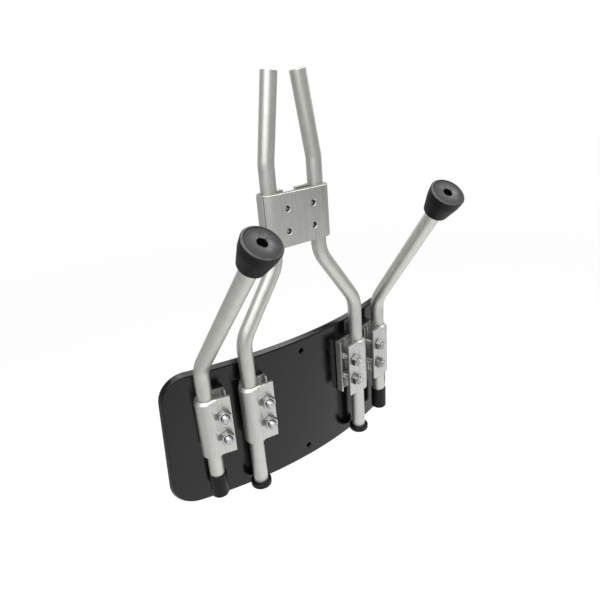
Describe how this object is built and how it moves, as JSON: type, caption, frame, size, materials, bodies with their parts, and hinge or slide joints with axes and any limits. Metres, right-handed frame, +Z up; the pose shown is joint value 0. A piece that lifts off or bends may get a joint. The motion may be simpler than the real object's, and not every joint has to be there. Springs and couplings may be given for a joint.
{
  "type": "drum carrier front frame",
  "caption": "Front frame of a body-worn drum carrier: bent tubes tied by a chest plate, a curved belly plate that slides on them in split clamps, and swivel arms with rubber bumpers.",
  "frame": {"origin": "midway between the upper ends of the uprights, where the frame hangs from a shoulder yoke", "axes": "+Z up along the uprights, -Y away from the wearer to the drum, +X to the wearer's left"},
  "size_m": [0.3328, 0.1674, 0.439],
  "materials": {
    "satin_aluminium": "satin anodised silver, drawn tube and sawn extrusion",
    "zinc_steel": "bright zinc plating",
    "black_plastic": "moulded charcoal black with a low sheen",
    "black_foam": "closed-cell foam sheet with a matt skin",
    "black_rubber": "moulded black rubber",
    "black_vinyl": "dipped soft black vinyl"
  },
  "bodies": {
    "uprights": {"upright_left": "satin_aluminium", "foot_plug_left": "black_vinyl", "upright_right": "satin_aluminium", "foot_plug_right": "black_vinyl", "chest_plate": "satin_aluminium", "chest_saddle_left": "satin_aluminium", "chest_screw_left_upper": "zinc_steel", "chest_screw_left_lower": "zinc_steel", "chest_saddle_right": "satin_aluminium", "chest_screw_right_upper": "zinc_steel", "chest_screw_right_lower": "zinc_steel"},
    "belly": {"belly_plate": "black_plastic", "belly_pad": "black_foam", "clamp_inner_left": "satin_aluminium", "clamp_bolt_inner_left_upper": "zinc_steel", "clamp_nut_inner_left_upper": "zinc_steel", "clamp_bolt_inner_left_lower": "zinc_steel", "clamp_nut_inner_left_lower": "zinc_steel", "clamp_outer_left": "satin_aluminium", "clamp_bolt_outer_left_upper": "zinc_steel", "clamp_nut_outer_left_upper": "zinc_steel", "clamp_bolt_outer_left_lower": "zinc_steel", "clamp_nut_outer_left_lower": "zinc_steel", "clamp_inner_right": "satin_aluminium", "clamp_bolt_inner_right_upper": "zinc_steel", "clamp_nut_inner_right_upper": "zinc_steel", "clamp_bolt_inner_right_lower": "zinc_steel", "clamp_nut_inner_right_lower": "zinc_steel", "clamp_outer_right": "satin_aluminium", "clamp_bolt_outer_right_upper": "zinc_steel", "clamp_nut_outer_right_upper": "zinc_steel", "clamp_bolt_outer_right_lower": "zinc_steel", "clamp_nut_outer_right_lower": "zinc_steel"},
    "arm_slide_left": {"arm_cap_left": "black_vinyl"},
    "arm_left": {"arm_tube_left": "satin_aluminium", "bumper_left": "black_rubber", "bumper_insert_left": "black_vinyl", "bumper_screw_left": "zinc_steel"},
    "arm_slide_right": {"arm_cap_right": "black_vinyl"},
    "arm_right": {"arm_tube_right": "satin_aluminium", "bumper_right": "black_rubber", "bumper_insert_right": "black_vinyl", "bumper_screw_right": "zinc_steel"}
  },
  "joints": [
    {"name": "belly_height", "type": "slide", "parent": "uprights", "child": "belly", "axis": [0, 0, 1], "range_m": [-0.055, 0.038]},
    {"name": "arm_height_left", "type": "slide", "parent": "belly", "child": "arm_slide_left", "axis": [0, 0, 1], "range_m": [-0.02, 0.026]},
    {"name": "arm_swivel_left", "type": "hinge", "parent": "arm_slide_left", "child": "arm_left", "pos_m": [-0.12207, 0.00994, -0.3], "axis": [0, 0, 1], "range_deg": [-60, 50]},
    {"name": "arm_height_right", "type": "slide", "parent": "belly", "child": "arm_slide_right", "axis": [0, 0, 1], "range_m": [-0.02, 0.026]},
    {"name": "arm_swivel_right", "type": "hinge", "parent": "arm_slide_right", "child": "arm_right", "pos_m": [0.12207, 0.00994, -0.3], "axis": [0, 0, -1], "range_deg": [-60, 50]}
  ]
}
